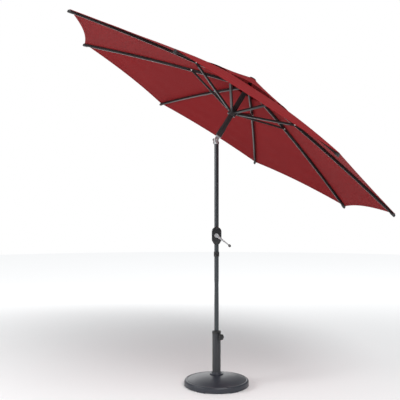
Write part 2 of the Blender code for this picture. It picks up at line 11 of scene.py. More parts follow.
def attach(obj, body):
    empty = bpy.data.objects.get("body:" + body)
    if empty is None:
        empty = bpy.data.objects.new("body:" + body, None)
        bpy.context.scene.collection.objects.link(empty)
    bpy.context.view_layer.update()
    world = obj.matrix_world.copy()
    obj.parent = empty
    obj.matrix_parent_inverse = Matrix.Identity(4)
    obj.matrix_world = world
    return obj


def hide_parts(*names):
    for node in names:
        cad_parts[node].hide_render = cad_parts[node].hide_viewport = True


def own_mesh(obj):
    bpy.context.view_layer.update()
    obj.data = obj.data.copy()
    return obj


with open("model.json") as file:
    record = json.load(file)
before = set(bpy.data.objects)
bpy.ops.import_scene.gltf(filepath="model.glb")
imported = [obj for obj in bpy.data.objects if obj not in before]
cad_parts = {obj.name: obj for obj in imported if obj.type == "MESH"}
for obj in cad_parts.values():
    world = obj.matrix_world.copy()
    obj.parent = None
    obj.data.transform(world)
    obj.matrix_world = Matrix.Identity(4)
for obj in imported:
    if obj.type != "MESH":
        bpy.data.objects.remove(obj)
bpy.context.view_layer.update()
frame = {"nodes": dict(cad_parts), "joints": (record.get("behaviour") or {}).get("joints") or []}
joints = {joint["name"]: joint for joint in frame["joints"]}

# ---- Studio ----
# A pale floor under a white sky, a broad key light from the front and high on the right, and weaker ones
# from the left and from behind. The camera stands level at chest height in front of the umbrella.

camera_data = bpy.data.cameras.new("camera")
camera_data.sensor_width = 36
camera_data.lens = 56.07
camera_data.shift_y = 0.0235
camera = bpy.data.objects.new("camera", camera_data)
camera.location = (-0.1184, -4.4655, 1.2579)
camera.rotation_euler = (pi / 2, 0, 0)
bpy.context.collection.objects.link(camera)
bpy.context.scene.camera = camera

world = bpy.data.worlds.new("white sky")
world.use_nodes = True
sky = world.node_tree
backdrop = sky.nodes["Background"]
backdrop.inputs["Color"].default_value = (1.0, 1.0, 1.0, 1)
backdrop.inputs["Strength"].default_value = 1.0
room = sky.nodes.new("ShaderNodeBackground")
room.inputs["Color"].default_value = (0.94, 0.97, 1.0, 1)
room.inputs["Strength"].default_value = 0.34
seen = sky.nodes.new("ShaderNodeLightPath")
either = sky.nodes.new("ShaderNodeMixShader")
sky.links.new(seen.outputs["Is Camera Ray"], either.inputs["Fac"])
sky.links.new(room.outputs["Background"], either.inputs[1])
sky.links.new(backdrop.outputs["Background"], either.inputs[2])
sky.links.new(either.outputs["Shader"], sky.nodes["World Output"].inputs["Surface"])
bpy.context.scene.world = world
bpy.context.scene.view_settings.view_transform = "Standard"
umbrella_middle = Vector((0, 0, 1.4))


def soft_light(name, place, size, power):
    """A square area light that faces the umbrella's middle."""
    data = bpy.data.lights.new(name, "AREA")
    data.size = size
    data.energy = power
    lamp = bpy.data.objects.new(name, data)
    lamp.location = place
    lamp.rotation_euler = (umbrella_middle - Vector(place)).to_track_quat("-Z", "Y").to_euler()
    bpy.context.collection.objects.link(lamp)


soft_light("key light", (1.9, -4.8, 5.4), 4.0, 400)
soft_light("left light", (-4.8, -1.8, 2.4), 2.0, 130)
soft_light("back light", (-0.8, 6.0, 2.4), 4.0, 80)


class Val:
    """A shader socket that takes part in Python arithmetic."""

    def __init__(self, tree, socket):
        self.tree = tree
        self.socket = socket

    def math(self, operation, first, second=None):
        made = self.tree.nodes.new("ShaderNodeMath")
        made.operation = operation
        for slot, value in zip(made.inputs, (first, second)):
            fill(self.tree, slot, value)
        return Val(self.tree, made.outputs[0])

    def __add__(self, other):
        return self.math("ADD", self, other)

    def __mul__(self, other):
        return self.math("MULTIPLY", self, other)

    def sine(self):
        return self.math("SINE", self)

    __radd__ = __add__
    __rmul__ = __mul__


def fill(tree, slot, value):
    """Puts a value or a link into a socket."""
    if isinstance(value, Val):
        tree.links.new(value.socket, slot)
    elif value is not None:
        slot.default_value = value


class Finish:
    """A material in the making: node() adds one node, surface() fills the Principled shader's sockets."""

    def __init__(self, name):
        self.material = bpy.data.materials.new(name)
        self.material.use_nodes = True
        self.tree = self.material.node_tree
        self.shader = self.tree.nodes["Principled BSDF"]

    def node(self, kind, settings=None, sockets=None, output=0):
        made = self.tree.nodes.new("ShaderNode" + kind)
        for key, value in (settings or {}).items():
            if key == "stops":
                for i, (place, colour) in enumerate(value):
                    stops = made.color_ramp.elements
                    stop = stops[i] if i < len(stops) else stops.new(place)
                    stop.position, stop.color = place, colour
            else:
                setattr(made, key, value)
        for key, value in (sockets or {}).items():
            fill(self.tree, made.inputs[key], value)
        return Val(self.tree, made.outputs[output])

    def coords(self):
        return self.node("TexCoord", output="Object")

    def noise(self, scale, detail=3, where=None):
        sockets = {"Vector": where or self.coords(), "Scale": scale, "Detail": detail}
        return self.node("TexNoise", None, sockets)

    def mix(self, share, first, second):
        return self.node("Mix", {"data_type": "RGBA"}, {0: share, 6: first, 7: second}, output=2)

    def bump(self, height, distance, strength):
        return self.node("Bump", None, {"Height": height, "Distance": distance, "Strength": strength})

    def surface(self, **sockets):
        for key, value in sockets.items():
            fill(self.tree, self.shader.inputs[key.replace("_", " ")], value)
        return self.material


def rgb(red, green, blue):
    return (red, green, blue, 1.0)


floor_r = 14
floor_glow_from, floor_glow_to = 0.8, 7.0
floor_finish = Finish("studio floor")
floor_tone = floor_finish.noise(0.6, 2) * 0.02 + 0.88
floor_colour = floor_finish.node("CombineColor", None, {0: floor_tone, 1: floor_tone, 2: floor_tone})
# From a short way out, the floor glows more and more with distance. This is painted light that brightens its
# far part into the white sky.
floor_reach = floor_finish.node("VectorMath", {"operation": "LENGTH"}, {0: floor_finish.coords()}, output=1)
painted_glow_ramp = {"Value": floor_reach, "From Min": floor_glow_from, "From Max": floor_glow_to, "To Max": 0.62}
painted_glow_level = floor_finish.node("MapRange", {"interpolation_type": "SMOOTHSTEP"}, painted_glow_ramp)
painted_floor_glow = floor_finish.node("CombineColor", None, {0: painted_glow_level, 1: painted_glow_level, 2: painted_glow_level})
floor_material = floor_finish.surface(Base_Color=floor_colour, Roughness=0.9, Specular_IOR_Level=0.0,
                                      Emission_Color=painted_floor_glow, Emission_Strength=1.0)


def object_from(name, mesh, finish):
    """An object at the origin with one mesh and one material."""
    made = bpy.data.objects.new(name, mesh)
    bpy.context.collection.objects.link(made)
    mesh.materials.clear()
    mesh.materials.append(finish)
    return made


weld_gap = 2e-6
crease = radians(38)


def crisp(mesh, angle=crease):
    """The mesh with smooth shading, and with the edges that turn more than the angle left sharp."""
    mesh.shade_smooth()
    mesh.set_sharp_from_angle(angle=angle)
    return mesh


def spun(outline, facets=96):
    """A closed (radius, height) outline turned about Z, smooth except at its sharp corners."""
    bm = bmesh.new()
    points = [bm.verts.new((radius, 0, height)) for radius, height in outline]
    pairs = list(zip(points, points[1:]))
    if outline[0][0] > 0 or outline[-1][0] > 0:
        pairs.append((points[-1], points[0]))
    edges = [bm.edges.new(pair) for pair in pairs]
    bmesh.ops.spin(bm, geom=points + edges, axis=(0, 0, 1), cent=(0, 0, 0), steps=facets, angle=2 * pi)
    return closed(bm)


def closed(bm):
    """The edited bmesh as a mesh with outward faces and smooth shading."""
    bmesh.ops.remove_doubles(bm, verts=bm.verts, dist=weld_gap)
    bmesh.ops.recalc_face_normals(bm, faces=bm.faces)
    if bm.calc_volume(signed=True) < 0:
        bmesh.ops.reverse_faces(bm, faces=bm.faces)
    mesh = bpy.data.meshes.new("shape")
    bm.to_mesh(mesh)
    bm.free()
    return crisp(mesh)


floor_outline = [(0, -0.020), (floor_r, -0.020), (floor_r, -0.0005), (0, -0.0005)]
floor = object_from("floor", spun(floor_outline), floor_material)

# ---- Base shell ----
# The shell is moulded in dark charcoal resin, with a rounded shoulder, a shallow ring groove and a low
# dome up to the post. Six feet stand out of its lower rim, with low gaps between them.

base_r = 0.230
skirt_h = 0.043
shoulder = 0.012
groove_r = base_r * 0.92
dome_h = 0.079
dome_rises_in, dome_rises_out = 0.045, 0.205
dome_power = 1.7
shell_wall = 0.004
feet = 6
foot_gap = 0.0045
gap_reach, gap_width, gap_r = 0.11, 0.17, 0.205
post_r = 0.030
fit = 0.0003

resin = Finish("charcoal resin")
grain = resin.noise(650, 2)
mottle = resin.noise(22, 4)
resin_colour = resin.mix(mottle, rgb(0.020, 0.023, 0.031), rgb(0.034, 0.038, 0.050))
resin_material = resin.surface(
    Base_Color=resin_colour, Roughness=mottle * 0.16 + 0.30, Normal=resin.bump(grain, 0.0003, 0.5)
)


def dome_height(radius):
    """Height of the dome's upper face, which falls ever faster from the post to the groove."""
    share = min(max((radius - dome_rises_in) / (dome_rises_out - dome_rises_in), 0), 1)
    return dome_h - (dome_h - skirt_h - 0.001) * share**dome_power


def arc(centre, radius, start, end, spans):
    """Outline points on a round stretch from one angle to another."""
    angles = [start + (end - start) * i / spans for i in range(spans + 1)]
    return [(centre[0] + radius * cos(a), centre[1] + radius * sin(a)) for a in angles]


def placed(name, mesh, finish, body, replaced=()):
    """A finished piece that moves with its CAD body and stands for the named CAD nodes."""
    made = object_from(name, mesh, finish)
    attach(made, body)
    if replaced:
        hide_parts(*replaced)
    return made


def applied(holder):
    """The holder's mesh after its modifiers, which are removed with it."""
    bpy.context.view_layer.update()
    mesh = bpy.data.meshes.new_from_object(holder.evaluated_get(bpy.context.evaluated_depsgraph_get()))
    bpy.data.objects.remove(holder, do_unlink=True)
    return mesh


ring = [base_r * 0.93 - 0.0105 * i for i in range(19)]
shell_top = arc((base_r - shoulder, skirt_h - shoulder), shoulder, 0, pi / 2, 10)
shell_top += [(groove_r + 0.0035, skirt_h), (groove_r + 0.002, skirt_h - 0.0008),
              (groove_r, skirt_h - 0.0022), (groove_r - 0.002, skirt_h - 0.0008),
              (groove_r - 0.0035, skirt_h + 0.0004)]
dome = [(radius, dome_height(radius)) for radius in ring if post_r + 0.004 < radius < groove_r - 0.006]
hole = post_r + fit
shell_under = [(r, z - shell_wall) for r, z in [(hole, dome_h)] + dome[::-1]]
shell_outline = [(base_r, 0)] + shell_top + dome + [(hole, dome_h)] + shell_under
shell_outline += arc((base_r - shoulder, skirt_h - shoulder), shoulder - shell_wall, pi / 2, 0, 6)
shell_outline += [(base_r - shell_wall, 0)]
shell = object_from("shell_blank", spun(shell_outline, 144), resin_material)
cutters = []
below = 0.02
gap_box = Matrix.Translation((gap_r, 0, (foot_gap - below) / 2))
gap_box = gap_box @ Matrix.Diagonal((gap_reach, gap_width, foot_gap + below, 1))
for i in range(feet):
    bm = bmesh.new()
    bmesh.ops.create_cube(bm, size=1, matrix=Matrix.Rotation((i + 0.5) * 2 * pi / feet, 4, "Z") @ gap_box)
    cutter = object_from(f"foot_gap_{i}", closed(bm), resin_material)
    cutters.append(cutter)
    cut = shell.modifiers.new("foot gap", "BOOLEAN")
    cut.operation, cut.solver, cut.object = "DIFFERENCE", "EXACT", cutter
shell_mesh = applied(shell)
for cutter in cutters:
    bpy.data.objects.remove(cutter, do_unlink=True)
placed("base_shell_moulding", crisp(shell_mesh), resin_material, "base", ["base_shell"])

# ---- Ballast and middle foot ----
# The shell is filled with grey concrete, seen only from below, and a rubber foot under the middle takes
# its share of the load.


def repaint(name, finish):
    """A CAD node whose shape is right keeps it and takes a new finish."""
    mesh = frame["nodes"][name].data
    mesh.materials.clear()
    mesh.materials.append(finish)


concrete = Finish("concrete")
pores = concrete.noise(240, 6)
stains = concrete.noise(14, 4)
concrete_colour = concrete.mix(stains, rgb(0.33, 0.32, 0.30), rgb(0.47, 0.46, 0.43))
concrete_material = concrete.surface(
    Base_Color=concrete_colour, Roughness=0.95, Normal=concrete.bump(pores, 0.002, 0.8)
)
repaint("base_ballast", concrete_material)

rubber = Finish("black rubber")
rubber_material = rubber.surface(
    Base_Color=rubber.mix(rubber.noise(60), rgb(0.014, 0.014, 0.015), rgb(0.028, 0.028, 0.029)),
    Roughness=0.88,
    Normal=rubber.bump(rubber.noise(900, 2), 0.0003, 0.6),
)
repaint("centre_foot", rubber_material)
repaint("clamp_pad", rubber_material)

# ---- Post ----
# A steel tube, powder coated to match the shell, stands in the ballast. A moulded ring hides the joint,
# and a plastic reducer in the post's top guides the pole.

post_low = 0.0067
post_top = 0.390
tube_top = post_top - 0.020
post_bore = 0.0285
pole_r = 0.016
clamp_z = post_top - 0.039
flange_r = 0.048
flange_top = dome_h + fit + 0.016


def powder_coat(name, dark, light, roughness, metallic=0.0):
    """Powder coat: fine orange peel, slightly uneven gloss and soft vertical handling marks."""
    coat = Finish(name)
    stretched = coat.node("Mapping", None, {"Vector": coat.coords(), "Scale": (1, 1, 0.06)})
    marks = coat.noise(70, 3, stretched)
    peel = coat.noise(520, 2)
    return coat.surface(
        Base_Color=coat.mix(marks, dark, light),
        Roughness=marks * 0.18 + (roughness - 0.09),
        Metallic=metallic,
        Normal=coat.bump(peel, 0.0004, 0.35),
        Coat_Weight=0.15,
        Coat_Roughness=0.25,
    )


post_coat = powder_coat("charcoal coat", rgb(0.017, 0.019, 0.023), rgb(0.028, 0.030, 0.036), 0.42)
post_outline = [(post_r, post_low), (post_r, tube_top - 0.0015), (post_r - 0.0004, tube_top),
                (post_bore, tube_top), (post_bore, post_low)]
placed("post_barrel", spun(post_outline), post_coat, "base", ["post_tube"])

flange_low = dome_h + fit
flange_outline = [(flange_r - 0.0002, flange_low), (flange_r, flange_low + 0.0003),
                  (flange_r, flange_low + 0.003)]
flange_outline += arc((flange_r - 0.004, flange_low + 0.003), 0.004, 0, pi / 2, 6)
flange_outline += arc((flange_r - 0.008, flange_low + 0.013), 0.006, -pi / 2, -pi, 6)
flange_outline += [(0.0340, flange_top - 0.001), (0.0333, flange_top), (hole, flange_top), (hole, flange_low)]
placed("post_flange_ring", spun(flange_outline), resin_material, "base", ["post_flange"])

plastic = Finish("black plastic")
pebble = plastic.noise(420, 3)
plastic_material = plastic.surface(
    Base_Color=plastic.mix(plastic.noise(30), rgb(0.009, 0.009, 0.010), rgb(0.018, 0.018, 0.019)),
    Roughness=plastic.noise(45) * 0.16 + 0.34,
    Normal=plastic.bump(pebble, 0.0004, 0.45),
)
lip = tube_top + fit
guide_r = pole_r + 0.0005
guide_low = post_top - 0.085
collar_r = 0.0315
reducer_outline = [(post_bore - fit, guide_low), (post_bore - fit, lip), (collar_r - 0.0003, lip),
                   (collar_r, lip + 0.0004), (collar_r, lip + 0.003), (collar_r - 0.0007, lip + 0.0035),
                   (collar_r, lip + 0.004)]
reducer_outline += arc((collar_r - 0.006, post_top - 0.006), 0.006, 0, pi / 2, 8)
reducer_outline += [(guide_r + 0.001, post_top), (guide_r, post_top - 0.001), (guide_r, guide_low)]
placed("post_reducer", spun(reducer_outline), plastic_material, "base", ["post_sleeve"])

# ---- Clamp knob ----
# A nut is welded to the post, and a star knob with seven lobes turns a steel screw through it. The
# screw's rubber pad presses on the pole.

steel = Finish("bright steel")
brush_lines = steel.node("Mapping", None, {"Vector": steel.coords(), "Scale": (1, 1, 0.1)})
brushed = steel.noise(300, 4, brush_lines)
steel_material = steel.surface(
    Base_Color=rgb(0.58, 0.58, 0.57), Metallic=1.0, Roughness=brushed * 0.2 + 0.22,
    Normal=steel.bump(brushed, 0.0002, 0.4),
)
knob_radius = 0.0225
knob_depth = 0.017
knob_lobes = 7
knob_foot = 0.048
screw_r = 0.0040
screw_pitch = 0.00125
clamp_out = Vector(joints["knob_turn"]["axis"])
clamp_turn = Matrix.Translation((0, 0, clamp_z)) @ clamp_out.to_track_quat("Z", "Y").to_matrix().to_4x4()


def moved(mesh, place):
    """The mesh put in its place."""
    mesh.transform(place)
    return mesh


boss_outline = [(0.0044, 0.0305), (0.0092, 0.0305), (0.0094, 0.0315), (0.0088, 0.0420), (0.0080, 0.0430),
                (0.0044, 0.0430)]
boss_mesh = moved(spun(boss_outline, 48), clamp_turn)
placed("clamp_nut", boss_mesh, post_coat, "base", ["clamp_boss"])

thread = [(0, 0.0196)]
for i in range(22):
    start = 0.0200 + i * screw_pitch
    thread += [(screw_r - 0.0004, start), (screw_r, start + screw_pitch * 0.48)]
thread += [(0, knob_foot - fit)]
thread_mesh = moved(spun(thread, 32), clamp_turn)
placed("clamp_thread", thread_mesh, steel_material, "clamp_knob", ["clamp_screw"])


def star_ring(bm, size, height):
    """One level of the knob: a ring with lobes, which are shallower where the ring is smaller."""
    facets = 18 * knob_lobes
    depth = 0.24 * size**3
    ring_points = []
    for i in range(facets):
        angle = 2 * pi * i / facets
        lobe = abs(cos(knob_lobes * angle / 2)) ** 0.8
        radius = knob_radius * size * (1 - depth * (1 - lobe))
        ring_points.append(bm.verts.new((radius * cos(angle), radius * sin(angle), height)))
    return ring_points


def bridged(bm, rings):
    """Joins rings of points by faces, from a lid on the first to a lid on the last."""
    for row, following in zip(rings, rings[1:]):
        for i in range(len(row)):
            j = (i + 1) % len(row)
            bm.faces.new((row[i], row[j], following[j], following[i]))
    bm.faces.new(rings[0])
    bm.faces.new(rings[-1])


bm = bmesh.new()
knob_levels = [(0.86, 0), (0.97, 0.0010), (1.0, 0.0030), (1.0, knob_depth - 0.0070),
               (0.97, knob_depth - 0.0045), (0.88, knob_depth - 0.0030), (0.60, knob_depth - 0.0022),
               (0.42, knob_depth - 0.0008), (0.20, knob_depth - 0.0001)]
bridged(bm, [star_ring(bm, size, knob_foot + height) for size, height in knob_levels])
knob_mesh = moved(closed(bm), clamp_turn)
placed("clamp_star_knob", knob_mesh, plastic_material, "clamp_knob", ["clamp_knob"])

# ---- Lower and middle pole ----
# Two aluminium tubes of one diameter in a blue-black powder coat. A threaded collar with grip ribs joins
# them, and a plastic foot closes the lower end.

pole_coat = powder_coat("blue-black coat", rgb(0.026, 0.032, 0.037), rgb(0.042, 0.050, 0.056), 0.36, 0.30)
collar_z = 0.9375
collar_h = 0.036
pole_bore = 0.0148
knuckle_root = joints["canopy_tilt"]["pos_m"][2] - 0.036


def pole_outline(radius, bore, low, high):
    """A tube's outline, with its outer edges broken."""
    edge = 0.0004
    return [(radius - edge, low), (radius, low + edge), (radius, high - edge), (radius - edge, high),
            (bore, high), (bore, low)]


placed("lower_pole_tube", spun(pole_outline(pole_r, pole_bore, 0.0203, collar_z), 64), pole_coat, "pole",
       ["lower_pole"])
placed("middle_pole_tube", spun(pole_outline(pole_r, pole_bore, collar_z + fit, knuckle_root), 64), pole_coat,
       "pole", ["middle_pole"])
repaint("pole_foot", plastic_material)

collar_low, collar_high = collar_z - collar_h / 2, collar_z + collar_h / 2
rib_ring_r = 0.0185
collar_outline = [(0.0172, collar_low), (0.0190, collar_low + 0.0010), (0.0192, collar_low + 0.0020),
                  (0.0192, collar_low + 0.0060), (rib_ring_r, collar_low + 0.0070),
                  (rib_ring_r, collar_high - 0.0070), (0.0192, collar_high - 0.0060),
                  (0.0192, collar_high - 0.0020), (0.0190, collar_high - 0.0010), (0.0172, collar_high),
                  (pole_r + fit, collar_high), (pole_r + fit, collar_low)]
placed("coupling_ring", spun(collar_outline, 64), plastic_material, "pole", ["coupling_collar"])


class Tree:
    """A Geometry Nodes tree in the making, with named inputs."""

    def __init__(self, name, **inputs):
        self.tree = bpy.data.node_groups.new(name, "GeometryNodeTree")
        add = self.tree.interface.new_socket
        add("Geometry", in_out="INPUT", socket_type="NodeSocketGeometry")
        for label, kind in inputs.items():
            add(label.replace("_", " "), in_out="INPUT", socket_type="NodeSocket" + kind)
        add("Geometry", in_out="OUTPUT", socket_type="NodeSocketGeometry")
        self.start = self.tree.nodes.new("NodeGroupInput").outputs
        self.end = self.tree.nodes.new("NodeGroupOutput").inputs

    def node(self, kind, settings=None, sockets=None, output=0):
        made = self.tree.nodes.new(kind)
        for key, value in (settings or {}).items():
            setattr(made, key, value)
        for key, value in (sockets or {}).items():
            if isinstance(value, bpy.types.NodeSocket):
                self.tree.links.new(value, made.inputs[key])
            else:
                made.inputs[key].default_value = value
        return made.outputs[output]

    def finish(self, instances):
        """Real geometry in the Material input's finish."""
        real = self.node("GeometryNodeRealizeInstances", None, {"Geometry": instances})
        painted = {"Geometry": real, "Material": self.start["Material"]}
        made = self.node("GeometryNodeSetMaterial", None, painted)
        self.tree.links.new(made, self.end["Geometry"])


def grown(name, mesh, tree, body, slot, **inputs):
    """A piece that a Geometry Nodes tree makes from a mesh of guide points, turned into a plain mesh."""
    guide = object_from("guide", mesh, inputs["Material"])
    maker = guide.modifiers.new("maker", "NODES")
    maker.node_group = tree.tree
    for item in tree.tree.interface.items_tree:
        key = item.name.replace(" ", "_")
        if item.in_out == "INPUT" and key in inputs:
            maker[item.identifier] = inputs[key]
    return placed(name, crisp(applied(guide)), inputs["Material"], body)


grip_ribs = Tree("grip ribs round a ring", Count="Int", Radius="Float", Height="Float", Rib_radius="Float",
                 Material="Material")
given = grip_ribs.start
rib_points = grip_ribs.node("GeometryNodeMeshCircle", None,
                            {"Vertices": given["Count"], "Radius": given["Radius"]})
rib_bar = grip_ribs.node("GeometryNodeMeshCylinder", None,
                         {"Vertices": 8, "Radius": given["Rib radius"], "Depth": given["Height"]})
ribs_set = grip_ribs.node("GeometryNodeInstanceOnPoints", None, {"Points": rib_points, "Instance": rib_bar})
guide_place = grip_ribs.node("GeometryNodeInputPosition")
ribs_up = grip_ribs.node("GeometryNodeSampleIndex", {"data_type": "FLOAT_VECTOR"},
                         {"Geometry": given["Geometry"], "Value": guide_place})
ribs_moved = grip_ribs.node("GeometryNodeTranslateInstances", None,
                            {"Instances": ribs_set, "Translation": ribs_up, "Local Space": False})
grip_ribs.finish(ribs_moved)


def point_mesh(points):
    """Loose points, for a tree to put its copies on."""
    mesh = bpy.data.meshes.new("points")
    mesh.from_pydata([tuple(point) for point in points], [], [])
    return mesh


grown("coupling_grip_ribs", point_mesh([(0, 0, collar_z)]), grip_ribs, "pole", "black_plastic", Count=36,
      Radius=rib_ring_r, Height=collar_h - 0.014, Rib_radius=0.0008, Material=plastic_material)

# ---- Crank ----
# A two-part plastic housing is clamped on the pole over the cord drum. Four screws close it, and a light
# grey crank with a thin tapered arm and a turning grip stands out of its front.

housing_z = joints["crank_turn"]["pos_m"][2]
housing_half_w, housing_half_h = 0.0345, 0.0615
housing_front, housing_back = 0.040, 0.024
housing_edge = 0.007
parting_step = 0.0012
crank_length = 0.114
crank_angle = radians(-38)
waist = housing_half_h - housing_half_w
hip_r, hip_z = 0.008, -0.0330
hip_x = housing_half_w - hip_r
chin_r, chin_x = 0.005, 0.0160
chin_z = chin_r - housing_half_h
housing_outline = arc((0, waist), housing_half_w, 0, pi, 40)
housing_outline += arc((-hip_x, hip_z), hip_r, pi, pi * 1.2, 5)
housing_outline += arc((-chin_x, chin_z), chin_r, pi * 1.2, pi * 1.5, 5)
housing_outline += arc((chin_x, chin_z), chin_r, pi * 1.5, pi * 1.8, 5)
housing_outline += arc((hip_x, hip_z), hip_r, pi * 1.8, pi * 2, 5)

gloss = Finish("gloss black plastic")
gloss_material = gloss.surface(
    Base_Color=gloss.mix(gloss.noise(30), rgb(0.008, 0.008, 0.009), rgb(0.014, 0.014, 0.016)),
    Roughness=gloss.noise(60) * 0.10 + 0.20,
    Normal=gloss.bump(gloss.noise(300, 2), 0.0002, 0.3),
)


def housing_shell(face, parting):
    """One half, with a rounded face edge, a fine step at the parting line and a channel for the pole."""
    side = 1 if face > 0 else -1
    stepped_in = 1 - parting_step / housing_half_w
    levels = [(stepped_in, parting), (stepped_in, parting + side * 0.0008), (1, parting + side * 0.0014)]
    for i in range(9):
        angle = pi / 2 * i / 8
        inset = housing_edge * (1 - cos(angle))
        levels.append((1 - inset / housing_half_w, face - side * housing_edge * (1 - sin(angle))))
    bm = bmesh.new()
    rings = []
    for size, y in levels:
        rings.append([bm.verts.new((x * size, y, z * size)) for x, z in housing_outline])
    bridged(bm, rings)
    half = object_from("half", closed(bm), plastic_material)
    bore = pole_r + fit
    rod = spun([(0, -0.1), (bore, -0.1), (bore, 0.1), (0, 0.1)], 64)
    channel = object_from("channel", rod, plastic_material)
    cut = half.modifiers.new("pole channel", "BOOLEAN")
    cut.operation, cut.solver, cut.object = "DIFFERENCE", "EXACT", channel
    mesh = applied(half)
    bpy.data.objects.remove(channel, do_unlink=True)
    return moved(crisp(mesh), Matrix.Translation((0, 0, housing_z)))


placed("housing_front_cover", housing_shell(-housing_front, -fit / 2), gloss_material, "pole",
       ["crank_housing_front"])
placed("housing_rear_cover", housing_shell(housing_back, fit / 2), gloss_material, "pole",
       ["crank_housing_rear"])

grey = Finish("light grey plastic")
grey_material = grey.surface(
    Base_Color=grey.mix(grey.noise(40), rgb(0.36, 0.37, 0.38), rgb(0.46, 0.47, 0.48)),
    Roughness=grey.noise(60) * 0.14 + 0.34,
    Normal=grey.bump(grey.noise(400, 2), 0.0001, 0.2),
)
crank_place = Matrix.Translation((0, 0, housing_z)) @ Matrix.Rotation(pi / 2, 4, "X")
arm_place = crank_place @ Matrix.Rotation(crank_angle, 4, "Z")
hub_outline = [(0, 0.0358), (0.006, 0.0358), (0.006, 0.0410), (0.0150, 0.0410), (0.0152, 0.0420),
               (0.0150, 0.0490)]
hub_outline += arc((0.0120, 0.0495), 0.003, 0, pi / 2, 6)
hub_outline += [(0.0080, 0.0525), (0.0076, 0.0518), (0.0060, 0.0522), (0, 0.0530)]
hub_mesh = moved(spun(hub_outline, 64), crank_place)
placed("crank_hub", hub_mesh, grey_material, "crank", ["crank_arm"])


def tapered_bar(stations, sides=20):
    """A bar along X with an elliptic section: stations give x, half width and half thickness."""
    bm = bmesh.new()
    rings = []
    for x, half_w, half_t in stations:
        angles = [2 * pi * i / sides for i in range(sides)]
        rings.append([bm.verts.new((x, half_w * cos(a), half_t * sin(a))) for a in angles])
    bridged(bm, rings)
    return closed(bm)


arm_z = 0.0475
arm_stations = [(0.008, 0.0095, 0.0046), (0.020, 0.0086, 0.0044), (0.040, 0.0068, 0.0041),
                (0.065, 0.0051, 0.0038), (crank_length - 0.020, 0.0040, 0.0036),
                (crank_length - 0.004, 0.0036, 0.0036)]
arm_mesh = moved(tapered_bar(arm_stations), arm_place @ Matrix.Translation((0, 0, arm_z)))
placed("crank_bar", arm_mesh, grey_material, "crank")
eye_low, eye_high = arm_z - 0.0055, arm_z + 0.0055
eye_r, eye_edge = 0.0072, 0.0010
grip_top = 0.0975
eye_outline = [(0, eye_low), (0.0064, eye_low), (eye_r, eye_low + eye_edge), (eye_r, eye_high - eye_edge),
               (0.0064, eye_high), (0.0032, eye_high), (0.0032, grip_top), (0, grip_top + 0.0005)]
grip_place = arm_place @ Matrix.Translation((crank_length, 0, 0))
eye_mesh = moved(spun(eye_outline, 40), grip_place)
placed("crank_eye_and_pin", eye_mesh, grey_material, "crank")
repaint("cord_drum", plastic_material)

grip_outline = [(0.0038, 0.0535), (0.0070, 0.0535), (0.0080, 0.0545)]
grip_swells, grip_spans = 4, 16
for i in range(grip_spans + 1):
    swell = 0.0006 * cos(grip_swells * 2 * pi * i / grip_spans)
    grip_outline.append((0.0088 + swell, 0.0560 + 0.0395 * i / grip_spans))
grip_outline += [(0.0078, grip_top - 0.0005), (0.0066, grip_top), (0.0038, grip_top)]
placed("crank_grip_sleeve", moved(spun(grip_outline, 48), grip_place), plastic_material, "crank_grip",
       ["crank_grip"])

domes = Tree("domed heads on points", Radius="Float", Height="Float", Axis="Vector", Material="Material")
given = domes.start
dome_ball = domes.node("GeometryNodeMeshUVSphere", None, {"Segments": 20, "Rings": 10, "Radius": 1.0})
dome_axes = {0: given["Radius"], 1: given["Radius"], 2: given["Height"]}
dome_size = domes.node("ShaderNodeCombineXYZ", None, dome_axes)
dome_turn = domes.node("FunctionNodeAlignRotationToVector", {"axis": "Z"}, {"Vector": given["Axis"]})
heads = {"Points": given["Geometry"], "Instance": dome_ball, "Rotation": dome_turn, "Scale": dome_size}
domes.finish(domes.node("GeometryNodeInstanceOnPoints", None, heads))

dark_screw = Finish("blackened steel")
dark_screw_material = dark_screw.surface(
    Base_Color=rgb(0.035, 0.035, 0.036), Metallic=1.0, Roughness=dark_screw.noise(300) * 0.2 + 0.35
)
screw_x, screw_rise = 0.0215, 0.030
screw_places = []
for side in (-1, 1):
    for rise in (screw_rise, -screw_rise):
        screw_places.append((side * screw_x, 0.0002 - housing_front, housing_z + rise))
grown("housing_screws", point_mesh(screw_places), domes, "pole", "bright_steel", Radius=0.0028, Height=0.0010,
      Axis=(0, -1, 0), Material=dark_screw_material)

# ---- Tilt knuckle ----
# A cast fork on the lower pole holds the upper pole's tongue on a steel pin. The button beside it frees
# the lock.

cast = Finish("cast silver")
cast_grain = cast.noise(380, 4)
cast_material = cast.surface(
    Base_Color=cast.mix(cast.noise(35), rgb(0.34, 0.35, 0.36), rgb(0.50, 0.51, 0.52)),
    Metallic=0.85,
    Roughness=cast.noise(90) * 0.18 + 0.36,
    Normal=cast.bump(cast_grain, 0.0004, 0.5),
)


def eased(name, node_name, finish, body, edge=0.0008):
    """A CAD node's shape, with its triangles joined into flat faces and its edges eased."""
    bm = bmesh.new()
    bm.from_mesh(frame["nodes"][node_name].data)
    bmesh.ops.remove_doubles(bm, verts=bm.verts, dist=weld_gap)
    bmesh.ops.dissolve_limit(bm, angle_limit=radians(1), verts=bm.verts, edges=bm.edges)
    mesh = bpy.data.meshes.new(name)
    bm.to_mesh(mesh)
    bm.free()
    blank = object_from("blank", mesh, finish)
    ease = blank.modifiers.new("eased edges", "BEVEL")
    ease.width, ease.segments, ease.limit_method, ease.angle_limit = edge, 2, "ANGLE", radians(40)
    return placed(name, crisp(applied(blank)), finish, body, [node_name])


eased("knuckle_fork", "knuckle_lower", cast_material, "pole")
eased("knuckle_tongue", "knuckle_upper", cast_material, "upper")
eased("tilt_pin_rivet", "tilt_pin", steel_material, "pole", 0.0006)
eased("tilt_push_button", "tilt_button", plastic_material, "tilt_button", 0.0005)

# ---- Upper pole and crown ----
# The upper pole is a thicker black tube with a long plastic sleeve at its foot. The slotted crown on
# its top holds the ribs, and a low button holds the vent cap's middle.

